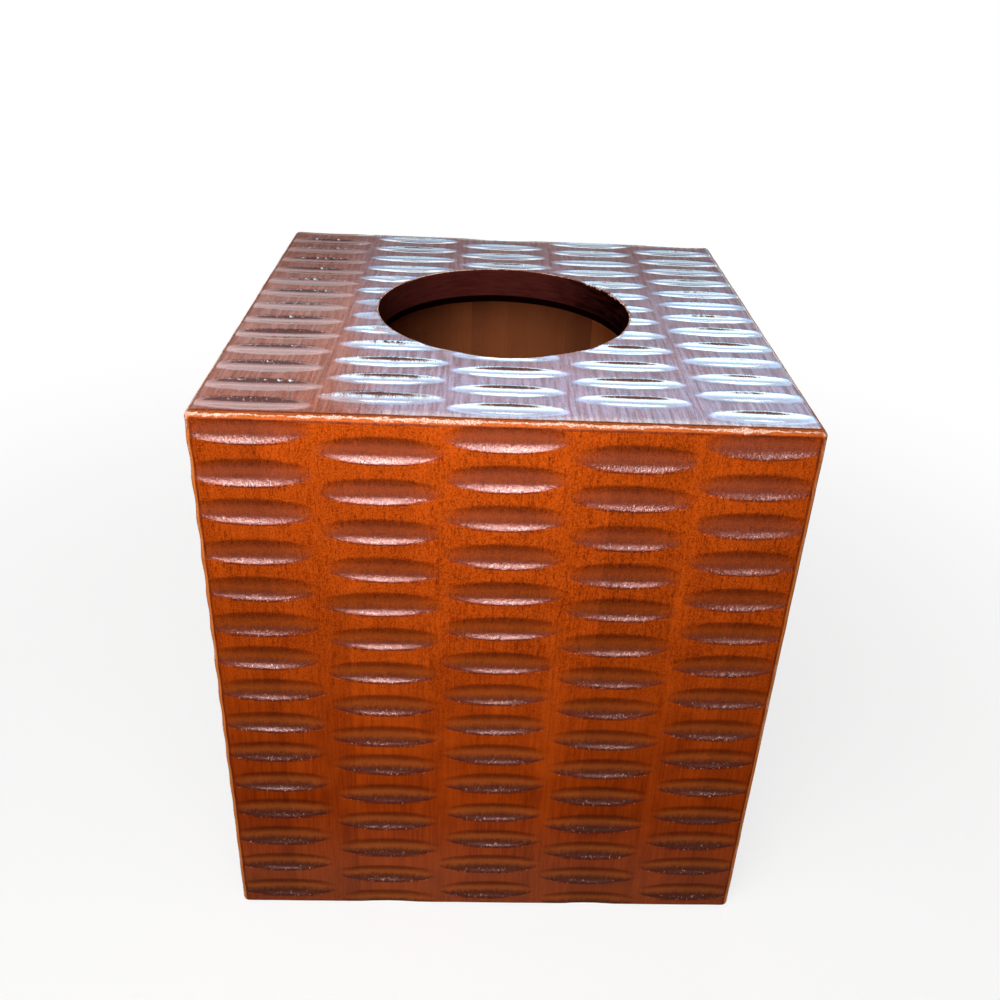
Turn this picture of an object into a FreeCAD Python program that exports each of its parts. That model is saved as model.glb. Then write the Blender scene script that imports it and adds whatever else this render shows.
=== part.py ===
import FreeCAD, Part
import os
from bisect import bisect
import Sketcher
from BOPTools import SplitFeatures
from CompoundTools import CompoundFilter

# A square tissue box cover of solid wood with a round opening in its top, open below.
# Millimetres; +Z is up, -Y is the front; the origin is the middle of the foot's plane.
# Five boards meet in mitres along every arris. Each board is glued up from staves whose
# grain runs up the sides and front to back on the top, and is then carved across the
# grain with staggered columns of shallow lens-shaped gouges.

# Driving sizes: alias, value, what it is.
sizes = [
    ("outer_width", 135, "left to right, over the faces"),
    ("outer_depth", 135, "front to back, over the faces"),
    ("outer_height", 150, "foot to top"),
    ("board_thickness", 10, "all five boards"),
    ("arris_radius", 2, "rounding of the outer arrises"),
    ("foot_radius", 1.2, "rounding of the outer lower edge"),
    ("opening_diameter", 66.4, "round opening in the top"),
    ("opening_offset_x", -0.6, "opening: right of the top's middle"),
    ("opening_offset_y", 0.9, "opening: behind the top's middle"),
    ("gouge_length", 27, "one gouge, tip to tip"),
    ("gouge_width", 6.6, "one gouge, lip to lip"),
    ("gouge_depth", 0.95, "one gouge, at its middle"),
    ("column_pitch", 27.3, "from one column of gouges to the next"),
    ("side_column_shift", 0.6, "left and right boards: columns off the middle"),
    ("row_pitch", 10.1, "sides: from one gouge down to the next"),
    ("row_start", 3.65, "sides: upper edge to the first gouge's middle"),
    ("row_stagger", 4, "sides: every second column starts this much lower"),
    ("top_row_pitch", 10.05, "top: from one gouge back to the next"),
    ("top_row_start", 6.5, "top: front edge to the first gouge's middle"),
    ("top_row_stagger", 4.5, "top: every second column starts this much further back"),
]

# Glue lines between staves, measured from the middle of each board, to the right as
# seen from outside (on the top, as seen from the front).
glue_lines = {
    "front": (-52, -35, -16.5, 3, 22.5, 39.5, 54.5),
    "back": (-51, -30, -21.4, -2.2, 9.7, 16.6, 34, 51.5),
    "left": (-47, -29.5, -12, 7.5, 25, 46),
    "right": (-50.5, -31, -14, 3.5, 23.5, 43),
    "top": (-48, -27.5, -9, 10.5, 29, 49),
}

overcut = 1.5          # how far past the wood a cutting shape reaches
gouge_overcut = 0.6    # how far the gouge's own cutter stands out of the face
narrowest_stave = 2    # no glue line lies nearer than this to a mitre or to the next one

doc = FreeCAD.newDocument("tissue_box_cover")
sheet = doc.addObject("Spreadsheet::Sheet", "Sizes")


def fill_sheet():
    rows = list(sizes)
    for board, lines in glue_lines.items():
        for number, offset in enumerate(lines, 1):
            rows.append((f"{board}_glue_line_{number}", offset, f"{board} board, off its middle"))
    for line, (alias, number, note) in enumerate(rows, 1):
        sheet.set(f"A{line}", alias)
        sheet.set(f"B{line}", str(number))
        sheet.set(f"C{line}", note)
        sheet.setAlias(f"B{line}", alias)
    doc.recompute()


def value(expression):
    return float(sheet.evalExpression(expression))


def new_sketch(body, name, role):
    plane = [part for part in body.Origin.OriginFeatures if part.Role == role][0]
    sketch = body.newObject("Sketcher::SketchObject", name)
    sketch.AttachmentSupport = (plane, [""])
    sketch.MapMode = "FlatFace"
    return sketch


def constrain(sketch, kind, *where, to):
    number = sketch.addConstraint(Sketcher.Constraint(kind, *where, value(to)))
    sketch.setExpression(f"Constraints[{number}]", to)


def draw_outline(sketch, corners, arcs):
    # corners: (x, y) in order; arcs: starting corner -> centre x, centre y, radius
    points = [FreeCAD.Vector(value(x), value(y), 0) for x, y in corners]
    edges = []
    for corner, start in enumerate(points):
        end = points[(corner + 1) % len(points)]
        edge = Part.LineSegment(start, end)
        if corner in arcs:
            centre_x, centre_y, radius = arcs[corner]
            centre = FreeCAD.Vector(value(centre_x), value(centre_y), 0)
            outward = (start + end) * 0.5 - centre
            edge = Part.Arc(start, centre + outward.normalize() * value(radius), end)
        edges.append(sketch.addGeometry(edge))

    def end_at(edge, point):
        gaps = [sketch.getPoint(edge, end).distanceToPoint(point) for end in (1, 2)]
        return 1 if gaps[0] < gaps[1] else 2

    for corner, (x, y) in enumerate(corners):
        here = (edges[corner], end_at(edges[corner], points[corner]))
        before = (edges[corner - 1], end_at(edges[corner - 1], points[corner]))
        sketch.addConstraint(Sketcher.Constraint("Coincident", *before, *here))
        constrain(sketch, "DistanceX", *here, to=x)
        constrain(sketch, "DistanceY", *here, to=y)
    for corner, (centre_x, centre_y, radius) in arcs.items():
        constrain(sketch, "Radius", edges[corner], to=radius)


def check_cut(feature):
    doc.recompute()
    removed = feature.BaseFeature.Shape.Volume - feature.Shape.Volume
    if removed <= 0:
        raise ValueError(f"{feature.Label} removes nothing")
    return feature


# A board is modelled standing: x along its width, z along its grain from 0 to its
# length, its outer face at y = 0 and its inner face at y = board_thickness.

thickness = "Sizes.board_thickness"
arris = "Sizes.arris_radius"
foot = "Sizes.foot_radius"
arris_inset = "Sizes.arris_radius * (1 - cos(45))"    # where the rounding meets the mitre


def blank(body, width, length):
    half = f"{width} / 2"
    corners = [
        (f"-{half} + {arris}", "0"),
        (f"{half} - {arris}", "0"),
        (f"{half} - {arris_inset}", arris_inset),
        (f"{half} - {thickness}", thickness),
        (f"-{half} + {thickness}", thickness),
        (f"-{half} + {arris_inset}", arris_inset),
    ]
    arcs = {
        1: (f"{half} - {arris}", arris, arris),
        5: (f"-{half} + {arris}", arris, arris),
    }
    plan = new_sketch(body, f"{body.Name}_plan", "XY_Plane")
    draw_outline(plan, corners, arcs)
    pad = body.newObject("PartDesign::Pad", f"{body.Name}_blank")
    pad.Profile = plan
    pad.setExpression("Length", length)
    doc.recompute()


def mitred_end(sketch, end, outward):
    def at(height):
        return f"{end} - {outward} * ({height})"

    inner = f"{thickness} + {overcut}"
    corners = [
        (f"-{overcut}", at(f"-{overcut}")),
        (f"-{overcut}", at(arris)),
        ("0", at(arris)),
        (arris_inset, at(arris_inset)),
        (inner, at(inner)),
        (inner, at(f"-{overcut}")),
    ]
    draw_outline(sketch, corners, {2: (arris, at(arris), arris)})


def rounded_foot(sketch):
    corners = [
        (f"-{overcut}", f"-{overcut}"),
        (f"-{overcut}", foot),
        ("0", foot),
        (foot, "0"),
        (foot, f"-{overcut}"),
    ]
    draw_outline(sketch, corners, {2: (foot, foot, foot)})


def trim_ends(body, length, foot_end):
    sketch = new_sketch(body, f"{body.Name}_ends", "YZ_Plane")
    mitred_end(sketch, length, 1)
    if foot_end:
        rounded_foot(sketch)
    else:
        mitred_end(sketch, "0", -1)
    pocket = body.newObject("PartDesign::Pocket", f"{body.Name}_end_trim")
    pocket.Profile = sketch
    pocket.Type = "ThroughAll"
    pocket.Midplane = True
    check_cut(pocket)


# A gouge is a torus cap: an arc of radius scoop across it, swept on an arc of radius
# bow along it.
bow = "(Sizes.gouge_length ^ 2 / (8 * Sizes.gouge_depth) + Sizes.gouge_depth / 2)"
scoop = "(Sizes.gouge_width ^ 2 / (8 * Sizes.gouge_depth) + Sizes.gouge_depth / 2)"


def carve_columns(body, name, first_x, columns, first_z, rows, row_pitch, downward):
    if value(columns) < 1 or value(rows) < 1:
        return
    sketch = new_sketch(body, f"{body.Name}_{name}_section", "YZ_Plane")
    sketch.setExpression("AttachmentOffset.Base.x", f"Sizes.gouge_depth - {bow}")
    sketch.setExpression("AttachmentOffset.Base.y", first_z)
    sketch.setExpression("AttachmentOffset.Base.z", first_x)
    chord = f"{bow} - Sizes.gouge_depth - {gouge_overcut}"
    reach = f"sqrt({scoop} ^ 2 - ({scoop} - Sizes.gouge_depth - {gouge_overcut}) ^ 2)"
    corners = [(chord, f"-{reach}"), (chord, reach)]
    draw_outline(sketch, corners, {0: (f"{bow} - {scoop}", "0", scoop)})

    groove = body.newObject("PartDesign::Groove", f"{body.Name}_{name}_gouge")
    groove.Profile = sketch
    groove.ReferenceAxis = (sketch, ["V_Axis"])
    groove.Midplane = True
    groove.setExpression("Angle", f"2 * asin((Sizes.gouge_length / 2 + {overcut}) / {bow})")
    check_cut(groove)

    pattern = body.newObject("PartDesign::LinearPattern", f"{body.Name}_{name}")
    pattern.Originals = [groove]
    pattern.Direction = (sketch, ["N_Axis"])
    pattern.Mode = "Spacing"
    pattern.setExpression("Offset", "2 * Sizes.column_pitch")
    pattern.setExpression("Occurrences", columns)
    pattern.Direction2 = (sketch, ["V_Axis"])
    pattern.Reversed2 = downward
    pattern.Mode2 = "Spacing"
    pattern.setExpression("Offset2", row_pitch)
    pattern.setExpression("Occurrences2", rows)
    body.Tip = pattern
    check_cut(pattern)


def carve(body, width, length, shift, row_start, row_pitch, row_stagger, downward):
    count = f"round({width} / Sizes.column_pitch)"
    first_x = f"{shift} - ({count} - 1) / 2 * Sizes.column_pitch"
    for name, columns, x, start in (
        ("odd_columns", f"ceil({count} / 2)", first_x, row_start),
        ("even_columns", f"floor({count} / 2)", f"{first_x} + Sizes.column_pitch",
         f"({row_start} + {row_stagger})"),
    ):
        rows = f"floor(({length} - {start}) / {row_pitch}) + 1"
        first_z = f"{length} - {start}" if downward else start
        carve_columns(body, name, x, columns, first_z, rows, row_pitch, downward)


def standing_board(name, width, shift):
    body = doc.addObject("PartDesign::Body", name)
    length = "Sizes.outer_height"
    blank(body, width, length)
    trim_ends(body, length, foot_end=True)
    carve(body, width, length, shift, "Sizes.row_start", "Sizes.row_pitch",
          "Sizes.row_stagger", downward=True)
    return body


def top_board(name):
    body = doc.addObject("PartDesign::Body", name)
    width = "Sizes.outer_width"
    length = "Sizes.outer_depth"
    blank(body, width, length)
    trim_ends(body, length, foot_end=False)
    carve(body, width, length, "0", "Sizes.top_row_start", "Sizes.top_row_pitch",
          "Sizes.top_row_stagger", downward=False)
    right = "Sizes.opening_offset_x"
    back = f"{length} / 2 + Sizes.opening_offset_y"
    radius = "Sizes.opening_diameter / 2"
    sketch = new_sketch(body, f"{name}_opening_circle", "XZ_Plane")
    centre = FreeCAD.Vector(value(right), value(back), 0)
    normal = FreeCAD.Vector(0, 0, 1)
    circle = sketch.addGeometry(Part.Circle(centre, normal, value(radius)))
    constrain(sketch, "DistanceX", circle, 3, to=right)
    constrain(sketch, "DistanceY", circle, 3, to=back)
    constrain(sketch, "Radius", circle, to=radius)
    opening = body.newObject("PartDesign::Pocket", f"{name}_opening")
    opening.Profile = sketch
    opening.Type = "ThroughAll"
    opening.Midplane = True
    check_cut(opening)
    return body


def kept_glue_lines(board, width):
    # aliases in order across the board, without any that falls into a mitre
    aliases = [f"Sizes.{board}_glue_line_{number}" for number in range(1, len(glue_lines[board]) + 1)]
    limit = value(f"{width} / 2 - {thickness}") + narrowest_stave
    kept = []
    for alias in sorted(aliases, key=value):
        if abs(value(alias)) < limit:
            if not kept or value(alias) - value(kept[-1]) > narrowest_stave:
                kept.append(alias)
    return kept


def glue_plane(name, offset, length):
    # stands across the board, square to its width
    plane = doc.addObject("Part::Plane", name)
    plane.Placement = FreeCAD.Placement(
        FreeCAD.Vector(0, -overcut, -overcut),
        FreeCAD.Rotation(FreeCAD.Vector(0, 1, 0), -90),
    )
    plane.setExpression("Placement.Base.x", offset)
    plane.setExpression("Length", f"{length} + 2 * {overcut}")
    plane.setExpression("Width", f"{thickness} + 2 * {overcut}")
    return plane


def saw_board(side, board, width, length, turn, place):
    lines = kept_glue_lines(side, width)
    sawn = SplitFeatures.makeSlice(f"{side}_board_sawn")
    sawn.Base = board
    sawn.Tools = [glue_plane(f"{side}_glue_{n}", line, length) for n, line in enumerate(lines, 1)]
    sawn.Mode = "Split"
    doc.recompute()

    offsets = [value(line) for line in lines]
    middle = value(f"{length} / 2")
    centres = [piece.CenterOfMass for piece in sawn.Shape.childShapes()]
    numbers = [bisect(offsets, centre.x) + 1 for centre in centres]
    staves = []
    for index, centre in enumerate(centres):
        name = f"{side}_stave_{numbers[index]}"
        if numbers.count(numbers[index]) > 1:
            name += "_front" if centre.z < middle else "_back"
        stave = CompoundFilter.makeCompoundFilter(name)
        stave.Label = name
        stave.Base = sawn
        stave.FilterType = "specific items"
        stave.items = str(index)
        stave.Placement = FreeCAD.Placement(FreeCAD.Vector(), turn)
        for axis, distance in place.items():
            stave.setExpression(f"Placement.Base.{axis}", distance)
        staves.append(stave)
    return staves


def build():
    width = "Sizes.outer_width"
    depth = "Sizes.outer_depth"
    height = "Sizes.outer_height"
    upright = FreeCAD.Vector(0, 0, 1)
    face_board = standing_board("face_board", width, "0")
    side_board = standing_board("side_board", depth, "Sizes.side_column_shift")
    lid_board = top_board("lid_board")
    staves = []
    for side, board, across, angle, place in (
        ("front", face_board, width, 0, {"y": f"-{depth} / 2"}),
        ("right", side_board, depth, 90, {"x": f"{width} / 2"}),
        ("back", face_board, width, 180, {"y": f"{depth} / 2"}),
        ("left", side_board, depth, 270, {"x": f"-{width} / 2"}),
    ):
        turn = FreeCAD.Rotation(upright, angle)
        staves += saw_board(side, board, across, height, turn, place)
    lay_flat = FreeCAD.Rotation(FreeCAD.Vector(1, 0, 0), -90)
    place = {"y": f"-{depth} / 2", "z": height}
    staves += saw_board("top", lid_board, width, depth, lay_flat, place)
    doc.recompute()
    return staves


def write(staves):
    for item in doc.Objects:
        if "Invalid" in item.State or "Error" in item.State:
            raise ValueError(f"{item.Label}: {item.State}")
    for stave in staves:
        if stave.Shape.isNull() or not stave.Shape.isValid() or len(stave.Shape.Solids) != 1:
            raise ValueError(f"{stave.Label}: not one valid solid")
    os.makedirs("parts", exist_ok=True)
    for stave in staves:
        stave.Shape.exportStep(os.path.join("parts", f"{stave.Label}.step"))
    print(len(staves), "staves, wood", round(sum(s.Shape.Volume for s in staves)), "mm3")


fill_sheet()
write(build())
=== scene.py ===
import math
import bpy
import numpy as np
from mathutils import Matrix, Vector


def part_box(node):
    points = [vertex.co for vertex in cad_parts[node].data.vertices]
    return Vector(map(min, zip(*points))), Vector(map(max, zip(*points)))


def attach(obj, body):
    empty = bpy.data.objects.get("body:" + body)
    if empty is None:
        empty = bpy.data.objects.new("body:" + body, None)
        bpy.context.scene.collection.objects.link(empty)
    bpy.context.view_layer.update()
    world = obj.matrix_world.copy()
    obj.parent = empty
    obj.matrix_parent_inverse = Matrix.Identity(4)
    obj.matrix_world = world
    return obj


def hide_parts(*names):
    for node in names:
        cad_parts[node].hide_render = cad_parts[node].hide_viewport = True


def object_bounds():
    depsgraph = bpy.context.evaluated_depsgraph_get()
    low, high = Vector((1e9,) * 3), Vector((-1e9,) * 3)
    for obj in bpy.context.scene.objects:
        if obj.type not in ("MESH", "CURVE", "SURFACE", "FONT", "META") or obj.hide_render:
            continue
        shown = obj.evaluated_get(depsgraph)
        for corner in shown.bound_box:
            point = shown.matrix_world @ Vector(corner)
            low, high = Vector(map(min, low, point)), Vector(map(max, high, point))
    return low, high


# A square wooden tissue box cover, glued up from staves, carved with rows of gouges and lacquered.
# Metres; +Z is up, -Y is the front; the origin is the middle of the foot's plane.

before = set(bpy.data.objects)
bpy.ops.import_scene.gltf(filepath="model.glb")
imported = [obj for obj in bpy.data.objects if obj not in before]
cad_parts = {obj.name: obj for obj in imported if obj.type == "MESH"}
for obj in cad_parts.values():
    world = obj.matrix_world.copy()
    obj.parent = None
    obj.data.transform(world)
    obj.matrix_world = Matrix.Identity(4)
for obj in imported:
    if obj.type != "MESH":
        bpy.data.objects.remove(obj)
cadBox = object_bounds()
highest = cadBox[1]
halfWidth, halfDepth, height = highest.x, highest.y, highest.z
scene = bpy.context.scene
tiny = 1e-9      # a length below this counts as nought
print("frame loaded:", len(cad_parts), "staves")

camera = {
    "place": (-0.00672, -0.25197, 0.24110),
    "turn": (61.577, -2.677, -1.343),     # degrees about X, Y and Z
    "lens": 35.83,                        # millimetres, on a sensor this wide
    "sensor": 36,
    "shift": (-0.0195, -0.0411),
    "nearest": 0.01,                      # what is closer than this isn't drawn
}


def placeCamera():
    turn = [math.radians(angle) for angle in camera["turn"]]
    bpy.ops.object.camera_add(location=camera["place"], rotation=turn)
    eye = bpy.context.object
    eye.data.sensor_width = camera["sensor"]
    eye.data.lens = camera["lens"]
    eye.data.shift_x, eye.data.shift_y = camera["shift"]
    eye.data.clip_start = camera["nearest"]
    scene.camera = eye


placeCamera()

# A board is made standing: x across it, y into the wood, z along its grain, its outer face
# at y = 0 and its foot or front end at z = 0. It is then turned into its place.
boards = {
    "front": {"turn": 0, "place": (0, -halfDepth, 0), "half": halfWidth, "length": height},
    "right": {"turn": 90, "place": (halfWidth, 0, 0), "half": halfDepth, "length": height},
    "back": {"turn": 180, "place": (0, halfDepth, 0), "half": halfWidth, "length": height},
    "left": {"turn": 270, "place": (-halfWidth, 0, 0), "half": halfDepth, "length": height},
    "top": {"flat": True, "place": (0, -halfDepth, height), "half": halfWidth, "length": 2 * halfDepth},
}
for board in boards.values():
    if "flat" in board:
        turn = Matrix.Rotation(math.radians(-90), 4, "X")
    else:
        turn = Matrix.Rotation(math.radians(board["turn"]), 4, "Z")
    board["matrix"] = Matrix.Translation(board["place"]) @ turn

gouge = {
    "length": 0.027,
    "width": 0.0066,
    "depth": 0.0008,
    "topDepth": 0.64,          # share of the depth that the top's gouges have
    "lean": 0.65,              # how much steeper the torn side is than the clean one
    "columns": 5,
    "columnPitch": 0.0273,
    "sideShift": 0.0006,       # left and right boards: columns off the middle
    "rowPitch": 0.00998,
    "firstRow": 0.0040,        # below the upper edge
    "stagger": 0.004,          # every second column starts this much lower
    "topRowPitch": 0.0099,
    "topFirstRow": 0.0065,     # behind the front edge
    "topStagger": 0.0045,
    "topColumnShift": (-0.0018, -0.0014, -0.0009, 0.0008, -0.0004),
    "lipSoftness": 0.00009,    # how much sanding has softened the lips
    "ripple": 0.00002,         # unevenness of the tool's cut
    "rippleWaves": (0.009, 0.0035),
    "tearing": 0.00019,        # raggedness of the lip that breaks out the fibres
    "tearWaves": (0.0035, 0.0011),
    "tearAt": 0.97,            # where it is most ragged, as a share of the half width
    "tearSpread": 0.14,
    "leastTorn": 0.15,
    "tornColumn": 0.9,         # more tearing in the top's left column
    "reach": (1.25, 1.6),      # its field ends at this many half lengths and half widths
    "sines": 6,                # in the tearing, and in the ripple
    "rippleSines": 3,
    "seed": 11,
}
# how far the hand strays from the layout at most: metres, degrees for the turn, shares for the tearing
handStrays = {
    "across": 0.00056, "along": 0.00028, "length": 0.0011, "width": 0.0002, "depth": 0.00010,
    "turn": 0.9, "ragged": 1,
}


def layGouges(name, board):
    hand = np.random.default_rng(gouge["seed"] + list(boards).index(name))
    top = name == "top"
    pitch = gouge["topRowPitch" if top else "rowPitch"]
    first = gouge["topFirstRow" if top else "firstRow"]
    stagger = gouge["topStagger" if top else "stagger"]
    usualDepth = gouge["depth"] * (gouge["topDepth"] if top else 1)
    shift = gouge["sideShift"] if name in ("left", "right") else 0
    marks = []
    for column in range(gouge["columns"]):
        start = first + stagger * (column % 2) + (gouge["topColumnShift"][column] if top else 0)
        x = shift + (column - gouge["columns"] // 2) * gouge["columnPitch"]
        for row in range(int((board["length"] - start) / pitch) + 1):
            along = start + row * pitch
            drawn = hand.uniform(-1, 1, len(handStrays))
            stray = {what: share * most for share, (what, most) in zip(drawn, handStrays.items())}
            marks.append({
                "x": x + stray["across"],
                "z": (along if top else board["length"] - along) + stray["along"],
                "halfLength": (gouge["length"] + stray["length"]) / 2,
                "halfWidth": (gouge["width"] + stray["width"]) / 2,
                "depth": usualDepth + stray["depth"],
                "turn": math.radians(stray["turn"]),
                "ragged": max(0, stray["ragged"]) ** 2 + (gouge["tornColumn"] if top and column == 0 else 0),
                "phase": hand.uniform(0, 2 * math.pi, gouge["sines"]),
            })
    return marks


for name, board in boards.items():
    board["marks"] = layGouges(name, board)
print("gouges laid out:", sum(len(board["marks"]) for board in boards.values()))

waveHeight = 1.5      # evens out the height of a sum of sines


def waves(where, phases, longest, shortest):
    # an uneven ripple, mostly between -1 and 1, from sines of ever shorter waves
    total = np.zeros_like(where)
    lengths = np.geomspace(longest, shortest, len(phases))
    for length, phase in zip(lengths, phases):
        total += np.sin(2 * math.pi * where / length + phase)
    return total / math.sqrt(len(phases)) / waveHeight


def gougeField(name, x, z):
    # depth under the board's face, below zero outside the gouges, and the place across a gouge,
    # from -1 at the lip where the tool went in to 1 at the one that it tore
    tornSide = 1 if name == "top" else -1
    deepest = np.full(x.shape, -gouge["depth"])
    across = np.zeros_like(x)
    reachAlong, reachOver = gouge["reach"]
    for mark in boards[name]["marks"]:
        near = ((abs(x - mark["x"]) < mark["halfLength"] * reachAlong)
                & (abs(z - mark["z"]) < mark["halfWidth"] * reachOver))
        if not near.any():
            continue
        dx, dz = x[near] - mark["x"], z[near] - mark["z"]
        along = (dx * math.cos(mark["turn"]) + dz * math.sin(mark["turn"])) / mark["halfLength"]
        over = (dz * math.cos(mark["turn"]) - dx * math.sin(mark["turn"])) / mark["halfWidth"]
        lean = 1 + gouge["lean"] * np.clip(over * tornSide, -1, 1)
        depth = mark["depth"] * (1 - along ** 2 - over ** 2) * lean
        ripple = waves(dx, mark["phase"][:gouge["rippleSines"]], *gouge["rippleWaves"])
        depth += gouge["ripple"] * ripple * (abs(over) < 1)
        tear = waves(dx, mark["phase"], *gouge["tearWaves"])
        fromTear = (over * tornSide - gouge["tearAt"]) / gouge["tearSpread"]
        depth += gouge["tearing"] * tear * np.exp(-fromTear ** 2) * (gouge["leastTorn"] + mark["ragged"])
        deeper = depth > deepest[near]
        places = np.flatnonzero(near)[deeper]
        deepest[places] = depth[deeper]
        across[places] = over[deeper] * tornSide
    return deepest, across


arris = {
    "radius": 0.002,
    "uneven": 0.00022,         # hand sanding leaves the rounding uneven
    "unevenWaves": (0.06, 0.009),
    "footRadius": 0.0012,
    "rollOff": 0.00025,        # the top falls off a little towards its arrises
    "rollReach": 0.0055,
    "halfway": 0.29,           # 1 less the largest part of a direction at 45 degrees
}
# knocks where the rows of gouges run out over the left arrises
knocks = {
    "depth": 0.00028,
    "start": 0.002,            # below the upper edge
    "onLeft": 0.004,           # they end this far in from the left board's plane
    "onFront": 0.008,          # and this far in from the front's and the back's
    "topFade": 0.005,          # they fade out over this much below the top
    "footFade": 0.09,          # and above the foot
}
opening = {
    "radius": 0.0332,
    "centre": (-0.0006, 0.0009),
    "rimRadius": 0.0005,
    "rings": (0.00025, 0.0005),   # depths at which the mesh of the rim has an edge
    "rimBand": 0.000505,          # how far out from the wall the rim is rubbed
    "rimWear": 0.75,              # as much as on an arris this far round
    "leftGouges": 0.2,            # share of their depth that the gouges keep at the rim
    "rightGouges": 0.45,
    "frontGouges": 1.0,
    "frontFrom": 0.75,            # the front starts this many radii before the middle,
    "frontOver": 0.2,             # and counts fully this much further on
    "gougesFrom": 0.005,          # how far from the rim they reach their whole depth
    "gougesRise": 0.7,            # the power of the curve by which they do
    "wallReach": 0.0015,          # what is this close to the wall and faces inwards belongs to it
    "wallFacing": 0.4,
}
# small bites broken out of the rim, by degrees round it from +X towards the back
bites = {
    "from": 8, "to": 52, "fade": 8,
    "depth": 0.00055,
    "reach": 0.0009,              # how far out from the edge of the opening they go
    "waves": (0.006, 0.0013),
    "lift": 0.15,                 # the more of this, the fewer gaps between them
}
face = {
    "undulation": 0.00003,
    "waves": (0.045, 0.012),
    "sunk": 3,                    # times the undulation, so that none of it stands out of the box
    "leastFacing": 0.3,           # a point takes its carving from the boards it faces this squarely
}
# phases of the ripples: three rows for the arrises, two for the faces and one for the bites
shapeSeed, shapeSines = 5, 5
phases = np.random.default_rng(shapeSeed).uniform(0, 2 * math.pi, (3 + 2 + 1, shapeSines))
arrisPhases, facePhases, bitePhases = phases[:3], phases[3:5], phases[5]


def arrisRadius(p):
    uneven = sum(waves(p[:, axis], arrisPhases[axis], *arris["unevenWaves"]) for axis in range(3))
    return arris["radius"] + arris["uneven"] * uneven / 2


def knockDepth(p):
    below = (height - knocks["start"] - p[:, 2]) / gouge["rowPitch"]
    knock = np.cos(math.pi * (below - np.round(below))) ** 2
    nearArris = (np.clip((-p[:, 0] - halfWidth + knocks["onLeft"]) / knocks["onLeft"], 0, 1)
                 * np.clip((abs(p[:, 1]) - halfDepth + knocks["onFront"]) / knocks["onFront"], 0, 1))
    fading = (np.clip((height - p[:, 2]) / knocks["topFade"], 0, 1)
              * np.clip(p[:, 2] / knocks["footFade"], 0, 1))
    return knocks["depth"] * knock * nearArris * fading


def fromOpening(p):
    # how far points lie from the opening's axis: across, along and straight
    dx, dy = p[:, 0] - opening["centre"][0], p[:, 1] - opening["centre"][1]
    return dx, dy, np.hypot(dx, dy)


def roundRim(p):
    # the opening's upper edge, rounded like an arris: distances out from the wall and below the face
    dx, dy, distance = fromOpening(p)
    out, below = distance - opening["radius"], height - p[:, 2]
    radius = opening["rimRadius"]
    coreOut, coreBelow = np.maximum(out, radius), np.maximum(below, radius)
    gap = np.hypot(out - coreOut, below - coreBelow)
    share = np.minimum(1, radius / np.maximum(gap, tiny))
    scale = (opening["radius"] + coreOut + (out - coreOut) * share) / np.maximum(distance, tiny)
    return np.column_stack([
        opening["centre"][0] + dx * scale,
        opening["centre"][1] + dy * scale,
        height - (coreBelow + (below - coreBelow) * share)])


def keptByRim(x, z):
    # the gouges run shallow towards the opening, most of all on its left
    dx, dz = x - opening["centre"][0], z - halfDepth - opening["centre"][1]
    out = np.hypot(dx, dz) - opening["radius"]
    kept = np.where(dx < 0, opening["leftGouges"], opening["rightGouges"])
    inFront = np.clip((-dz / opening["radius"] - opening["frontFrom"]) / opening["frontOver"], 0, 1)
    kept = kept + (opening["frontGouges"] - kept) * inFront
    return kept + (1 - kept) * np.clip(out / opening["gougesFrom"], 0, 1) ** opening["gougesRise"]


def biteDepth(p):
    dx, dy, distance = fromOpening(p)
    angle = np.degrees(np.arctan2(dy, dx))
    out = np.maximum(distance - opening["radius"], 0)
    within = (np.clip((angle - bites["from"]) / bites["fade"], 0, 1)
              * np.clip((bites["to"] - angle) / bites["fade"], 0, 1))
    ripple = waves(np.radians(angle) * opening["radius"], bitePhases, *bites["waves"])
    return bites["depth"] * within * np.clip(ripple + bites["lift"], 0, 1) * np.exp(-out / bites["reach"])


def landDepth(board, x, z):
    # how far the uncarved wood lies under its board's plane
    land = face["undulation"] * (face["sunk"] + waves(x, facePhases[0], *face["waves"])
                                 + waves(z, facePhases[1], *face["waves"]))
    if "flat" in board:
        middle = board["length"] / 2
        nearest = np.minimum(board["half"] - np.abs(x), middle - np.abs(z - middle))
        land += arris["rollOff"] * (1 - np.clip(nearest / arris["rollReach"], 0, 1)) ** 2
    else:
        fromCore = arris["footRadius"] - np.clip(z, 0, arris["footRadius"])
        land += arris["footRadius"] - np.sqrt(arris["footRadius"] ** 2 - fromCore ** 2)
    return land


def softMax(a, b, softness):
    return 0.5 * (a + b + np.sqrt((a - b) ** 2 + softness ** 2))


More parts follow.
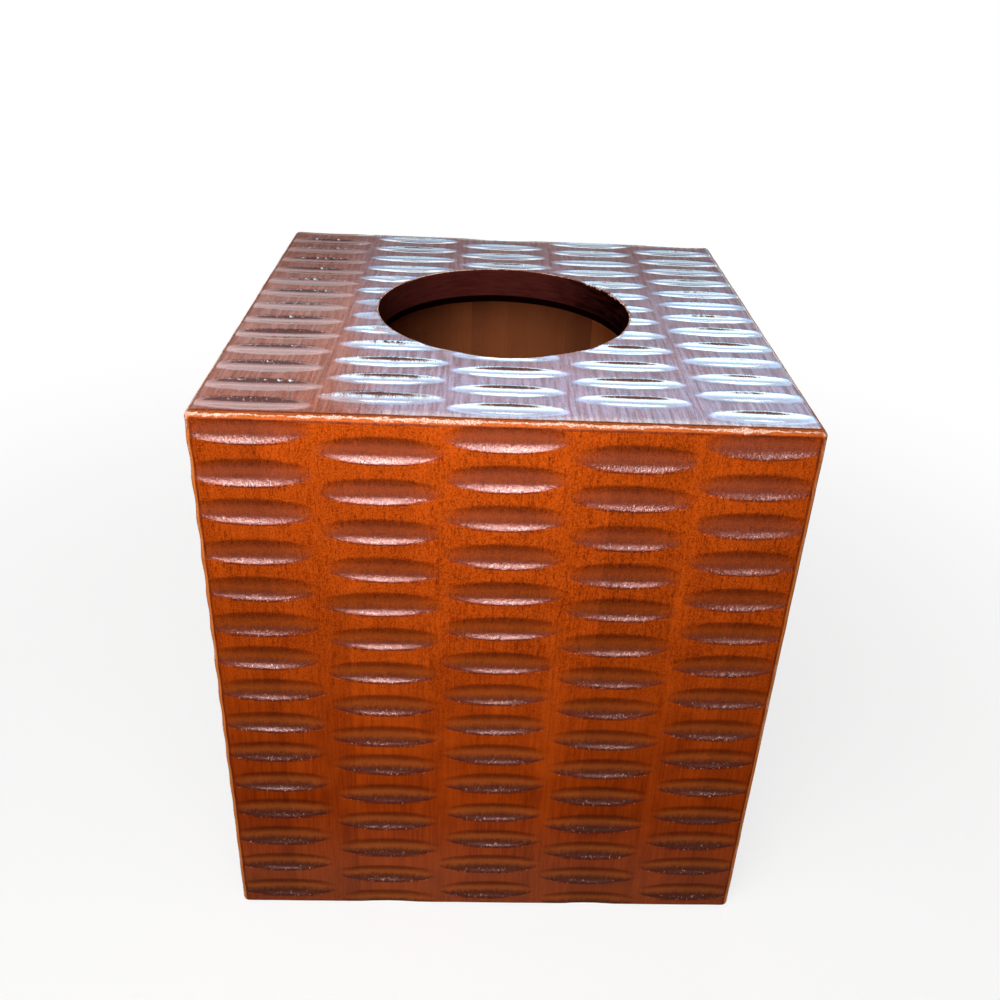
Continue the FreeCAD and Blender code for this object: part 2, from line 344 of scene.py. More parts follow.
def shapeWood(p, top):
    # p: points of the square, uncarved cover. Gives the points of the rounded and carved one,
    # and for each point what its finish depends on.
    if top:
        p = roundRim(p)
    radius = arrisRadius(p)
    core = np.column_stack([
        np.clip(p[:, 0], -halfWidth + radius, halfWidth - radius),
        np.clip(p[:, 1], -halfDepth + radius, halfDepth - radius),
        np.minimum(p[:, 2], height - radius)])
    gap = np.linalg.norm(p - core, axis=1)
    outward = (p - core) / np.maximum(gap, tiny)[:, None]
    share = np.minimum(gap / radius, 1)
    surface = core + outward * radius[:, None]
    onSkin = gap > tiny

    cut, gouged, across = np.zeros(len(p)), np.full(len(p), -1.0), np.zeros(len(p))
    for name, board in boards.items():
        toBoard = np.array(board["matrix"].inverted())
        local = surface @ toBoard[:3, :3].T + toBoard[:3, 3]
        facing = -(outward @ toBoard[:3, :3].T)[:, 1]
        skin = onSkin & (facing > face["leastFacing"])
        if not skin.any():
            continue
        x, inset, z = local[skin].T
        depth, over = gougeField(name, x, z)
        if name == "top":
            depth = depth * keptByRim(x, z)
        carved = softMax(depth - inset, landDepth(board, x, z), gouge["lipSoftness"]) * facing[skin]
        better = carved > cut[skin]
        places = np.flatnonzero(skin)[better]
        cut[places] = carved[better]
        gouged[places] = ((depth - inset) / gouge["depth"])[better]
        across[places] = over[better]
    upwards = outward[:, 2] > 0.5      # on the top and the upper part of its arrises
    cut += knockDepth(surface) * ~upwards
    if top:
        cut += biteDepth(p) * upwards
    shaped = core + outward * (share * radius - cut * share)[:, None]
    rounded = 1 - np.sort(np.abs(outward), axis=1)[:, 2]      # nought on a face, most on an arris
    onArris = np.clip(rounded / arris["halfway"], 0, 1) * onSkin
    if top:
        onRim = fromOpening(p)[2] - opening["radius"] < opening["rimBand"]
        onArris = np.maximum(onArris, opening["rimWear"] * onRim)
    return shaped, {"gougeDepth": np.clip(gouged, -1, 1), "gougeAcross": across, "arrisShare": onArris}


stave = {
    "thickness": 0.010,
    "acrossStep": 0.0005,      # spacing of the carved face's mesh
    "alongStep": 0.00033,
    "topStep": 0.8,            # how much finer it is on the top
    "trialStep": 2.2,          # how much coarser the mesh is in a quick trial
    "fewestColumns": 4,
    "smoothAngle": 32,         # degrees: sharper edges stay sharp
    "grainShift": 0.37,        # how far each stave's grain is moved from the one before
    "boardShift": 11,          # times that from board to board
}
# how light each stave's timber is, 1 for the usual one; the front's staves towards its sides are also set
# darker as painted shade, and the back's seventh and eighth lighter as painted light for the shaded inside
staveToneAndShade = {
    "front": (0.86, 0.95, 1.01, 1.04, 0.98, 0.85, 0.91, 0.83),
    "back": (1.0, 1.12, 0.95, 1.0, 1.03, 1.13, 1.10, 1.15, 1.05),
    "left": (0.98, 1.02, 0.95, 1.03, 1.0, 0.94, 1.01),
    "right": (1.0, 0.95, 1.02, 0.98, 1.04, 0.97, 1.0),
    "top": (0.98, 1.02, 0.97, 1.0, 1.03, 0.96, 1.0),
}
standingCentre = (opening["centre"][0], opening["centre"][1] + halfDepth)   # on the standing top
hair = 1e-5      # points closer together than this count as one place


def staveExtent(node, board):
    # the stave's ends in its board's own directions, out to the square edges
    corners = [board["matrix"].inverted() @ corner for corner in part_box(node)]
    ends = []
    for axis, least, most in ((0, -board["half"], board["half"]), (2, 0, board["length"])):
        start, end = sorted(corner[axis] for corner in corners)
        start = least if start - least < arris["radius"] else start
        end = most if most - end < arris["radius"] else end
        ends.append((start, end))
    return ends


def editCoordinates(mesh, change):
    p = np.empty(len(mesh.vertices) * 3)
    mesh.vertices.foreach_get("co", p)
    p = change(p.reshape(-1, 3))
    mesh.vertices.foreach_set("co", np.ascontiguousarray(p, dtype=np.float32).ravel())
    mesh.update()


def toWorld(board, p):
    m = np.array(board["matrix"])
    return p @ m[:3, :3].T + m[:3, 3]


def faceVectors(mesh, what):
    values = np.empty(len(mesh.polygons) * 3)
    mesh.polygons.foreach_get(what, values)
    return values.reshape(-1, 3)


def cutOpening(piece, board, sides):
    # takes out the faces inside the round opening and draws the edge left onto the circle
    mesh = piece.data
    inside = fromOpening(toWorld(board, faceVectors(mesh, "center")))[2] < opening["radius"]
    if not inside.any():
        return
    mesh.vertices.foreach_set("select", np.zeros(len(mesh.vertices), bool))
    mesh.edges.foreach_set("select", np.zeros(len(mesh.edges), bool))
    mesh.polygons.foreach_set("select", inside)
    corners = np.empty(len(mesh.loops), np.int32)
    mesh.loops.foreach_get("vertex_index", corners)
    corners = corners.reshape(-1, 4)
    rim = np.intersect1d(corners[inside], corners[~inside])

    def ontoCircle(p):
        # points on a glue line keep their place across
        dx, dz = p[rim, 0] - standingCentre[0], p[rim, 2] - standingCentre[1]
        onGlue = (np.abs(p[rim, 0] - sides[0]) < hair) | (np.abs(p[rim, 0] - sides[1]) < hair)
        distance = np.hypot(dx, dz)
        newX = np.where(onGlue, dx, dx * opening["radius"] / distance)
        chord = np.sqrt(np.maximum(opening["radius"] ** 2 - newX ** 2, 0))
        newZ = np.where(onGlue, np.sign(dz) * chord, dz * opening["radius"] / distance)
        p[rim, 0], p[rim, 2] = standingCentre[0] + newX, standingCentre[1] + newZ
        return p

    editCoordinates(mesh, ontoCircle)
    bpy.ops.object.mode_set(mode="EDIT")
    bpy.ops.mesh.select_mode(type="FACE")
    bpy.ops.mesh.delete(type="FACE")
    bpy.ops.object.mode_set(mode="OBJECT")


def layFace(node, board, ends):
    # a fine grid in the board's outer plane, with the opening cut out of it on the top
    (x0, x1), (z0, z1) = ends
    coarser = 1 * (stave["topStep"] if "flat" in board else 1)
    columns = max(stave["fewestColumns"], round((x1 - x0) / stave["acrossStep"] / coarser))
    rows = round((z1 - z0) / stave["alongStep"] / coarser)
    bpy.ops.object.select_all(action="DESELECT")
    bpy.ops.mesh.primitive_grid_add(
        x_subdivisions=columns, y_subdivisions=rows, size=1, rotation=(math.radians(90), 0, 0),
        location=((x0 + x1) / 2, 0, (z0 + z1) / 2))
    piece = bpy.context.object
    piece.scale = (x1 - x0, z1 - z0, 1)
    piece.name = piece.data.name = f"carved_{node}"
    bpy.ops.object.transform_apply(location=True, rotation=True, scale=True)
    if "flat" in board:
        cutOpening(piece, board, (x0, x1))
    return piece


def drawIn(q, board, ends, depthBefore, depth):
    # 45 degree mitres: at depth d every mitred end has come in by d
    (x0, x1), (z0, z1) = ends
    half, length = board["half"], board["length"]
    x, z = q[:, 0].copy(), q[:, 2].copy()
    stays = np.zeros(len(q), bool)
    if x0 == -half:
        x = x1 - (x1 - x) * (x1 + half - depth) / (x1 + half - depthBefore)
    if x1 == half:
        x = x0 + (x - x0) * (half - x0 - depth) / (half - x0 - depthBefore)
    if "flat" in board:
        # the opening's wall stays upright, and only what lies beyond it is drawn in
        fromCentre = np.hypot(q[:, 0] - standingCentre[0], q[:, 2] - standingCentre[1])
        stays = np.abs(fromCentre - opening["radius"]) < hair
        middle, still = length / 2, opening["radius"] + abs(opening["centre"][1])
        beyond = np.maximum(abs(z - middle) - still, 0)
        z -= np.sign(z - middle) * beyond * (1 - (middle - still - depth) / (middle - still - depthBefore))
    elif z1 == length:
        z = z * (length - depth) / (length - depthBefore)
    q[:, 0], q[:, 2] = np.where(stays, q[:, 0], x), np.where(stays, q[:, 2], z)
    return q


def thicken(piece, board, ends):
    # the wood behind the face: the open edge goes in by steps, and a flat face closes it
    mesh, depth = piece.data, 0.0
    bpy.ops.object.mode_set(mode="EDIT")
    bpy.ops.mesh.select_all(action="DESELECT")
    bpy.ops.mesh.select_mode(type="EDGE")
    bpy.ops.mesh.select_non_manifold()
    for ring in (*(opening["rings"] if "flat" in board else ()), stave["thickness"]):
        before, depthBefore, depth = len(mesh.vertices), depth, ring
        bpy.ops.mesh.extrude_edges_move(TRANSFORM_OT_translate={"value": (0, depth - depthBefore, 0)})
        bpy.ops.object.mode_set(mode="OBJECT")
        mesh = piece.data
        added = np.arange(len(mesh.vertices)) >= before

        def drawRing(p):
            p[added] = drawIn(p[added], board, ends, depthBefore, depth)
            return p

        editCoordinates(mesh, drawRing)
        bpy.ops.object.mode_set(mode="EDIT")
    bpy.ops.mesh.edge_face_add()
    bpy.ops.mesh.select_all(action="SELECT")
    bpy.ops.mesh.normals_make_consistent(inside=False)
    bpy.ops.object.mode_set(mode="OBJECT")


def carve(piece, board, side, number):
    # rounds and carves the stave in its place, and keeps what its finish depends on
    mesh, kept = piece.data, {}

    def intoPlace(p):
        shaped, finish = shapeWood(toWorld(board, p), "flat" in board)
        kept.update(finish)
        return shaped

    editCoordinates(mesh, intoPlace)
    shift = (list(boards).index(side) * stave["boardShift"] + number) * stave["grainShift"]
    kept["staveToneAndShade"] = np.full(len(mesh.vertices), staveToneAndShade[side][number - 1])
    kept["grainShift"] = np.full(len(mesh.vertices), shift)
    for name, values in kept.items():
        layer = mesh.attributes.new(name, "FLOAT", "POINT")
        layer.data.foreach_set("value", np.ascontiguousarray(values, dtype=np.float32))


def dressStave(piece, outerFaces, top):
    # the carved face is lacquered; the opening's wall is darker; what faces inwards is bare stain
    mesh = piece.data
    carved, wall, inside = range(3)
    for name in ("top" if top else "sides", "wall", "inside"):
        mesh.materials.append(woods[name])
    slots = np.full(len(mesh.polygons), inside, np.int32)
    slots[:outerFaces] = carved
    if top:
        dx, dy, distance = fromOpening(faceVectors(mesh, "center"))
        normals = faceVectors(mesh, "normal")
        inward = -(normals[:, 0] * dx + normals[:, 1] * dy) / np.maximum(distance, tiny)
        onWall = (distance < opening["radius"] + opening["wallReach"]) & (inward > opening["wallFacing"])
        onWall[:outerFaces] = False
        slots[onWall] = wall
    mesh.polygons.foreach_set("material_index", slots)


def makeStave(node, board, side):
    ends = staveExtent(node, board)
    piece = layFace(node, board, ends)
    outerFaces = len(piece.data.polygons)
    thicken(piece, board, ends)
    carve(piece, board, side, int(node.split("_")[2]))
    dressStave(piece, outerFaces, "flat" in board)
    bpy.ops.object.select_all(action="DESELECT")
    piece.select_set(True)
    bpy.context.view_layer.objects.active = piece
    bpy.ops.object.shade_smooth_by_angle(angle=math.radians(stave["smoothAngle"]))
    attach(piece, "root")
    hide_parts(node)


def addNode(tree, kind, inputs=None, **settings):
    made = tree.nodes.new(kind)
    for key, setting in settings.items():
        setattr(made, key, setting)
    for socket, source in (inputs or {}).items():
        if isinstance(source, bpy.types.NodeSocket):
            tree.links.new(source, made.inputs[socket])
        else:
            made.inputs[socket].default_value = source
    return made


def calculate(tree, operation, a, b):
    return addNode(tree, "ShaderNodeMath", {0: a, 1: b}, operation=operation).outputs[0]


def onVectors(tree, operation, a, b):
    return addNode(tree, "ShaderNodeVectorMath", {0: a, 1: b}, operation=operation).outputs[0]


def times(tree, a, b):
    return calculate(tree, "MULTIPLY", a, b)


def without(tree, share):
    return calculate(tree, "SUBTRACT", 1.0, share)


def spread(tree, value, between, ends=(0.0, 1.0)):
    # a soft step from one end to the other, while the value goes from one number to another
    return addNode(tree, "ShaderNodeMapRange", {
        "Value": value, "From Min": between[0], "From Max": between[1], "To Min": ends[0], "To Max": ends[1],
    }, interpolation_type="SMOOTHSTEP").outputs["Result"]


def ease(tree, share, ends):
    # the same for a share from 0 to 1
    return spread(tree, share, (0.0, 1.0), ends)


def weigh(tree, *shares):
    # the sum of values, each times its weight
    total = None
    for source, weight in shares:
        part = times(tree, source, weight)
        total = part if total is None else calculate(tree, "ADD", total, part)
    return total


def mixColour(tree, share, a, b, blend="MIX"):
    mixed = addNode(tree, "ShaderNodeMix", {0: share, 6: a, 7: b}, data_type="RGBA", blend_type=blend)
    return mixed.outputs[2]


def toned(tree, colour, tone):
    tint = addNode(tree, "ShaderNodeCombineColor", {0: tone, 1: tone, 2: tone}).outputs[0]
    return mixColour(tree, 1.0, colour, tint, "MULTIPLY")


def noise(tree, where, across, along, scale, detail, roughness):
    # the first two numbers draw the pattern out across and along the grain where they are below 1
    drawn = onVectors(tree, "MULTIPLY", where, (across, across, along))
    return addNode(tree, "ShaderNodeTexNoise", {
        "Vector": drawn, "Scale": scale, "Detail": detail, "Roughness": roughness}).outputs["Fac"]


def attribute(tree, name):
    return addNode(tree, "ShaderNodeAttribute", attribute_name=name).outputs["Fac"]


def objectPlace(tree):
    return addNode(tree, "ShaderNodeTexCoord").outputs["Object"]


def grainPlace(tree, flat):
    # Object coordinates, turned on the top so that its grain runs front to back
    turn = (math.radians(90), 0, 0) if flat else (0, 0, 0)
    return addNode(tree, "ShaderNodeMapping", {"Vector": objectPlace(tree), "Rotation": turn}).outputs[0]


def addBump(tree, relief, strength, depth, socket):
    bump = addNode(tree, "ShaderNodeBump", {"Height": relief, "Strength": strength, "Distance": depth})
    tree.links.new(bump.outputs[0], socket)


def newGroup(name, inputs, outputs):
    group = bpy.data.node_groups.new(name, "ShaderNodeTree")
    for socket, kind, usual in inputs:
        made = group.interface.new_socket(name=socket, in_out="INPUT", socket_type=f"NodeSocket{kind}")
        made.default_value = usual
    for socket in outputs:
        group.interface.new_socket(name=socket, in_out="OUTPUT", socket_type="NodeSocketFloat")
    entry = group.nodes.new("NodeGroupInput").outputs
    leave = group.nodes.new("NodeGroupOutput").inputs
    return group, entry, leave


def closeGroup(group, leave, results):
    for socket, source in results.items():
        group.links.new(source, leave[socket])
    return group


def placeGroup(tree, group, inputs):
    return addNode(tree, "ShaderNodeGroup", inputs, node_tree=group).outputs


# patterns of the timber: each one's noise (as the function takes it: across, along, scale, detail,
# roughness), and the values of it between which it shows
timber = {
    "Fibres": {"noise": (1, 0.05, 1500, 3, 0.6), "shown": (0.32, 0.68)},
    "Pores": {"noise": (1, 0.2, 2300, 1, 0.5), "shown": (0.58, 0.68)},
    "Specks": {"noise": (1, 0.7, 3100, 2, 0.7), "shown": (0.41, 0.62)},
    "Bands": {"noise": (1, 0.06, 170, 2, 0.5), "shown": (0.3, 0.7)},
    "Blotches": {"noise": (1, 1, 75, 3, 0.55), "shown": (0.32, 0.68)},
}
poreDepth = 0.6        # against the height of the fibres
shiftOnY = 0.7         # a stave's patterns move less that way


def makeGrainGroup():
    # timber with its grain along Z: the patterns, each about 0 to 1, and their relief
    group, entry, leave = newGroup("timberGrain", [
        ("Vector", "Vector", (0, 0, 0)), ("Shift", "Float", 0.0)], [*timber, "Relief"])
    onX = entry["Shift"]
    shift = addNode(group, "ShaderNodeCombineXYZ", {"X": onX, "Y": times(group, onX, shiftOnY), "Z": onX})
    where = onVectors(group, "ADD", entry["Vector"], shift.outputs[0])
    raw = {name: noise(group, where, *pattern["noise"]) for name, pattern in timber.items()}
    results = {name: spread(group, raw[name], pattern["shown"]) for name, pattern in timber.items()}
    results["Relief"] = calculate(group, "SUBTRACT", raw["Fibres"], times(group, results["Pores"], poreDepth))
    return closeGroup(group, leave, results)


wear = {
    "broad": (1, 1, 95, 2, 0.5), "broadShare": 1.4,
    "fine": (0.35, 1, 1700, 3, 0.65), "fineShare": 1.5,
    "usual": 1.45,         # what the two come to on average
    "edgeShare": 0.9,
    "limit": 1.25,         # less the amount of wear, it is what an edge has to pass
    "softness": (-0.12, 0.12),
}


def makeWearGroup():
    # pale wood rubbed through the lacquer along an edge: the mask is near 1 where it shows
    group, entry, leave = newGroup("rubbedEdge", [
        ("Vector", "Vector", (0, 0, 0)), ("Edge", "Float", 0.0), ("Amount", "Float", 0.5)], ["Worn"])
    uneven = weigh(group, (noise(group, entry["Vector"], *wear["broad"]), wear["broadShare"]),
                   (noise(group, entry["Vector"], *wear["fine"]), wear["fineShare"]))
    reach = calculate(group, "ADD", times(group, entry["Edge"], wear["edgeShare"]),
                      calculate(group, "SUBTRACT", uneven, wear["usual"]))
    limit = calculate(group, "SUBTRACT", wear["limit"], entry["Amount"])
    past = calculate(group, "SUBTRACT", reach, limit)
    return closeGroup(group, leave, {"Worn": spread(group, past, wear["softness"])})


# where each mask comes up: depths as shares of a gouge's own, and places across it,
# from -1 at the clean lip to 1 at the torn one
gougeMasks = {
    "inside": (-0.06, 0.16),
    "hollow": (-0.12, 0.75),
    "tornHalf": (-0.1, 0.6),
    "tornLine": {"across": (0.80, 0.96), "depth": (-0.42, -0.24)},
    "cleanLine": {"across": (-0.10, -0.95), "depth": (-0.15, 0.05)},
    "nearTear": {"across": (0.3, 0.9), "depth": (-0.3, -0.05)},
    "flakes": (1, 0.5, 1800, 2, 0.6),
    "flakesShown": (0.62, 0.69),
    "splinters": (1, 0.35, 1350, 3, 0.65),
    "splintersFrom": (0.2, 0.9),
    "splintersDeep": (0.0, 0.6),
}


def makeCarvingGroup():
    # where a gouge is, its half towards the torn lip, lines of painted shade along both lips, and chips in
    # the torn one
    group, entry, leave = newGroup("carvedGouge", [
        ("Vector", "Vector", (0, 0, 0)), ("Depth", "Float", -1.0), ("Across", "Float", 0.0),
        ("Ragged", "Float", 0.3)], ["Inside", "Hollow", "TornHalf", "TornLine", "CleanLine", "Chips"])
    splinters = noise(group, entry["Vector"], *gougeMasks["splinters"])
    stray = times(group, calculate(group, "SUBTRACT", splinters, 0.5), entry["Ragged"])
    across = calculate(group, "ADD", entry["Across"], stray)
    deep = spread(group, entry["Across"], gougeMasks["splintersFrom"], gougeMasks["splintersDeep"])
    depth = calculate(group, "ADD", entry["Depth"], times(group, stray, deep))
    flakes = spread(group, noise(group, entry["Vector"], *gougeMasks["flakes"]), gougeMasks["flakesShown"])

    def strip(name):
        mask = gougeMasks[name]
        return times(group, spread(group, across, mask["across"]), spread(group, depth, mask["depth"]))

    return closeGroup(group, leave, {
        "Inside": spread(group, depth, gougeMasks["inside"]),
        "Hollow": spread(group, depth, gougeMasks["hollow"]),
        "TornHalf": spread(group, across, gougeMasks["tornHalf"]),
        "TornLine": strip("tornLine"),
        "CleanLine": strip("cleanLine"),
        "Chips": times(group, flakes, strip("nearTear")),
    })


grainGroup = makeGrainGroup()
wearGroup = makeWearGroup()
carvingGroup = makeCarvingGroup()

stain = {
    "lowFrom": (0.025, 0.142),             # heights between which the sides change towards the foot
    "paintedFootShade": 0.56,                     # painted shade: how much darker they are made down there
    "foot": (0.26, 0.09, 0.045, 1),        # painted reflection of the pale floor, right at the foot
    "footFrom": (0.040, 0.005),
    "gouge": (0.20, 0.038, 0.0045, 1),     # olive-brown, in the gouges
    "gougeFloorReflection": (0.41, 0.105, 0.021, 1),   # painted reflection: paler in the gouges of the sides towards the foot, for the pale floor they mirror
    "paintedSheen": (0.42, 0.12, 0.075, 1),       # painted sheen: a pink haze in the gouges towards the upper edge of the sides, for the lacquer's gloss there
    "paintedSheenFrom": (0.095, 0.145),
    "hollowShare": 0.6,
    "tornWineAndShade": (0.052, 0.005, 0.007, 1),    # wine red, towards the torn lip; on the top board this is painted shade, for the dark its far halves mirror
    # the same, darker towards the foot of the sides: painted shade, as on the lands
    "tornWineAndShadeLow": (0.030, 0.002, 0.0015, 1),
    "line": (0.045, 0.005, 0.003, 1),      # painted shade along the lips
    # painted shade along the arrises
    "arrisShadeLine": (0.10, 0.014, 0.005, 1),
    "rubbedAndLitBand": (0.68, 0.21, 0.045, 1),        # lighter band on the arrises: stain rubbed thin, and painted light where their rounding catches it
    "worn": (0.80, 0.58, 0.47, 1),
    "wornWarm": (0.52, 0.17, 0.08, 1),
}
# how much darker the timber's patterns make the uncarved wood
landMarks = {"Fibres": 0.18, "Bands": 0.12, "Blotches": 0.14}
landPits = {"Pores": 0.30, "Specks": 0.50}
pitsLow = 0.12                             # share of the pits that is left at the foot
# arrises: from 0 on a face to 1 halfway round, and where the upper ones begin
rubbed = {
    "lineIn": (0.01, 0.06),                # the line of painted shade beside the lighter band
    "lineOut": (0.34, 0.18),
    "broken": (1, 1, 330, 3, 0.6),
    "brokenFrom": (0.30, 0.70),
    "brokenShare": (0.35, 0.85),
    "bandFrom": (0.18, 0.36),
    "nearTop": (height - 0.006, height - 0.002),
    "amount": (0.40, 0.62),                # below, and along the upper arrises
}
# the lacquer lies thick in the gouges and is rubbed thin between them
lacquers = {
    "sides": {
        "flat": False,
        "land": (0.65, 0.098, 0.006, 1),  # the uncarved wood, and its darkest
        "landDark": (0.18, 0.019, 0.0015, 1),
        "foot": 0.35,                     # shares of the tones in stain
        "paintedSheen": 0.5,
        "tornWineAndShadeShare": 0.55,
        "tornWineAndShadeLow": 0.85,
        "upperShade": 0.6,                # painted shade along the clean lip
        "tornShade": 0.6,
        "bandShare": 0.75,
        "topBand": 0.3,
        "chipShare": 0.3,
        "ragged": 0.6,                    # how far splinters move the torn line
        "landCoat": 0.009,
        "gougeCoat": 0.17,
        "everywhere": 0.0,                # share of the gouge's coat on its clean half
        "coatRoughness": 0.27,
        "coatBump": 0.9,
        "grainy": 0.35,                   # roughness inside the gouges
        "streaks": 0.0,                   # how much fibres dull the coat
        "frosted": 0.55,                  # and specks, inside the gouges
        "thinned": 1.0,                   # share of the coat that is left at the back
    },
    "top": {
        "flat": True,
        "land": (0.33, 0.066, 0.008, 1),
        "landDark": (0.11, 0.018, 0.005, 1),
        "foot": 0.0, "paintedSheen": 0.0,
        "tornWineAndShadeShare": 0.90, "tornWineAndShadeLow": 0.90,
        "upperShade": 0.35, "tornShade": 0.95,
        "bandShare": 0.15, "topBand": 0.15,
        "chipShare": 0.4, "ragged": 0.45,
        "landCoat": 0.50, "gougeCoat": 1.0, "everywhere": 1.0,
        "coatRoughness": 0.10, "coatBump": 0.20, "grainy": 0.1,
        "streaks": 0.5, "frosted": 0.1, "thinned": 0.5,
    },
}
coating = {
    "woodRoughness": 0.5,
    "woodSpecular": 0.0,
    "arrisFrom": (0.0, 0.7),               # rubbed off along the arrises
    "arrisCoat": (1.0, 0.08),
    "thinnedFrom": (-0.03, 0.055),         # from front to back
    "relief": 0.4,
    "specks": 0.28,
    "bumpStrength": 0.5,
    "texture": (1, 0.3, 2600, 2, 0.6),
    "bumpDepth": 0.00012,
}


def newMaterial(name, roughness, specular):
    material = bpy.data.materials.new(name)
    material.use_nodes = True
    shader = material.node_tree.nodes["Principled BSDF"]
    shader.inputs["Roughness"].default_value = roughness
    shader.inputs["Specular IOR Level"].default_value = specular
    return material, material.node_tree, shader.inputs


def placeGrain(tree, where):
    return placeGroup(tree, grainGroup, {"Vector": where, "Shift": attribute(tree, "grainShift")})


def carvedSurface(tree, look):
    # what the colour and the coat of a carved face are worked out from
    where = grainPlace(tree, look["flat"])
    place = addNode(tree, "ShaderNodeSeparateXYZ", {0: objectPlace(tree)}).outputs
    carving = placeGroup(tree, carvingGroup, {
        "Vector": where, "Depth": attribute(tree, "gougeDepth"), "Across": attribute(tree, "gougeAcross"),
        "Ragged": look["ragged"]})
    return {
        "where": where, "back": place["Y"], "up": place["Z"], "edge": attribute(tree, "arrisShare"),
        "low": spread(tree, place["Z"], stain["lowFrom"], (1.0, 0.0)),
        "grain": placeGrain(tree, where), "carving": carving,
    }


def landColour(tree, look, surface):
    # the uncarved wood: its pores hold more stain; the sides get painted shade towards the foot, and a
    # painted reflection of the floor right at it
    grain, low = surface["grain"], surface["low"]
    pitted = weigh(tree, *((grain[name], weight) for name, weight in landPits.items()))
    pitted = times(tree, pitted, ease(tree, low, (1.0, pitsLow)))
    grainAndFootShade = weigh(tree, *((grain[name], weight) for name, weight in landMarks.items()),
                     (pitted, 1.0), (low, stain["paintedFootShade"]))
    colour = mixColour(tree, calculate(tree, "MINIMUM", grainAndFootShade, 1.0), look["land"], look["landDark"])
    floorReflected = spread(tree, surface["up"], stain["footFrom"], (0.0, look["foot"]))
    return mixColour(tree, floorReflected, colour, stain["foot"])


def stainGouges(tree, look, surface, colour):
    carving, low = surface["carving"], surface["low"]
    hollow = mixColour(tree, low, stain["gouge"], stain["gougeFloorReflection"])
    # painted sheen in the gouges near the upper edge
    paintedSheen = spread(tree, surface["up"], stain["paintedSheenFrom"], (0.0, look["paintedSheen"]))
    hollow = mixColour(tree, paintedSheen, hollow, stain["paintedSheen"])
    colour = mixColour(tree, times(tree, carving["Hollow"], stain["hollowShare"]), colour, hollow)
    # the torn half in wine red: on the top board it is painted shade for the dark its far halves mirror, and
    # on the sides it gets painted shade towards the foot
    wine = mixColour(tree, low, stain["tornWineAndShade"], stain["tornWineAndShadeLow"])
    tornWineAndShade = times(tree, carving["Inside"], carving["TornHalf"])
    tornWineAndShade = times(tree, tornWineAndShade, ease(tree, low, (look["tornWineAndShadeShare"], look["tornWineAndShadeLow"])))
    colour = mixColour(tree, tornWineAndShade, colour, wine)
    # painted shade along both lips
    for line, shade in (("CleanLine", "upperShade"), ("TornLine", "tornShade")):
        colour = mixColour(tree, times(tree, carving[line], look[shade]), colour, stain["line"])
    return toned(tree, colour, attribute(tree, "staveToneAndShade"))


def rubArrises(tree, look, surface, colour):
    # a dark line of painted shade, then a lighter band of thin stain and painted light with pale wood rubbed
    # through it; and chips in the torn lips
    where, up, edge = surface["where"], surface["up"], surface["edge"]
    line = times(tree, spread(tree, edge, rubbed["lineIn"]), spread(tree, edge, rubbed["lineOut"]))
    broken = spread(tree, noise(tree, where, *rubbed["broken"]), rubbed["brokenFrom"], rubbed["brokenShare"])
    colour = mixColour(tree, times(tree, line, broken), colour, stain["arrisShadeLine"])
    bandShare = spread(tree, up, rubbed["nearTop"], (look["bandShare"], look["topBand"]))
    banded = times(tree, spread(tree, edge, rubbed["bandFrom"]), bandShare)
    colour = mixColour(tree, banded, colour, stain["rubbedAndLitBand"])
    amount = spread(tree, up, rubbed["nearTop"], rubbed["amount"])
    worn = placeGroup(tree, wearGroup, {"Vector": where, "Edge": edge, "Amount": amount})["Worn"]
    pale = mixColour(tree, surface["grain"]["Specks"], stain["worn"], stain["wornWarm"])
    colour = mixColour(tree, worn, colour, pale)
    chipped = times(tree, surface["carving"]["Chips"], look["chipShare"])
    return mixColour(tree, chipped, colour, stain["worn"])


def coatWeight(tree, look, surface):
    carving, grain = surface["carving"], surface["grain"]
    glossy = calculate(tree, "MAXIMUM", carving["TornHalf"], look["everywhere"])
    coat = ease(tree, times(tree, carving["Inside"], glossy), (look["landCoat"], look["gougeCoat"]))
    coat = times(tree, coat, spread(tree, surface["edge"], coating["arrisFrom"], coating["arrisCoat"]))
    fibres = times(tree, grain["Fibres"], without(tree, carving["Inside"]))
    specks = times(tree, grain["Specks"], carving["Inside"])
    dulled = weigh(tree, (fibres, look["streaks"]), (specks, look["frosted"]))
    coat = times(tree, coat, without(tree, dulled))
    return times(tree, coat, spread(tree, surface["back"], coating["thinnedFrom"], (1.0, look["thinned"])))


def makeLacqueredWood(name, look):
    material, tree, inputs = newMaterial(name, coating["woodRoughness"], coating["woodSpecular"])
    inputs["Coat Roughness"].default_value = look["coatRoughness"]
    surface = carvedSurface(tree, look)
    colour = stainGouges(tree, look, surface, landColour(tree, look, surface))
    tree.links.new(rubArrises(tree, look, surface, colour), inputs["Base Color"])
    tree.links.new(coatWeight(tree, look, surface), inputs["Coat Weight"])
    grain = surface["grain"]
    specks = times(tree, surface["carving"]["Inside"], grain["Specks"])
    relief = weigh(tree, (grain["Relief"], coating["relief"]), (grain["Specks"], coating["specks"]),
                   (specks, look["grainy"]))
    addBump(tree, relief, coating["bumpStrength"], coating["bumpDepth"], inputs["Normal"])
    texture = noise(tree, surface["where"], *coating["texture"])
    addBump(tree, texture, look["coatBump"], coating["bumpDepth"], inputs["Coat Normal"])
    return material


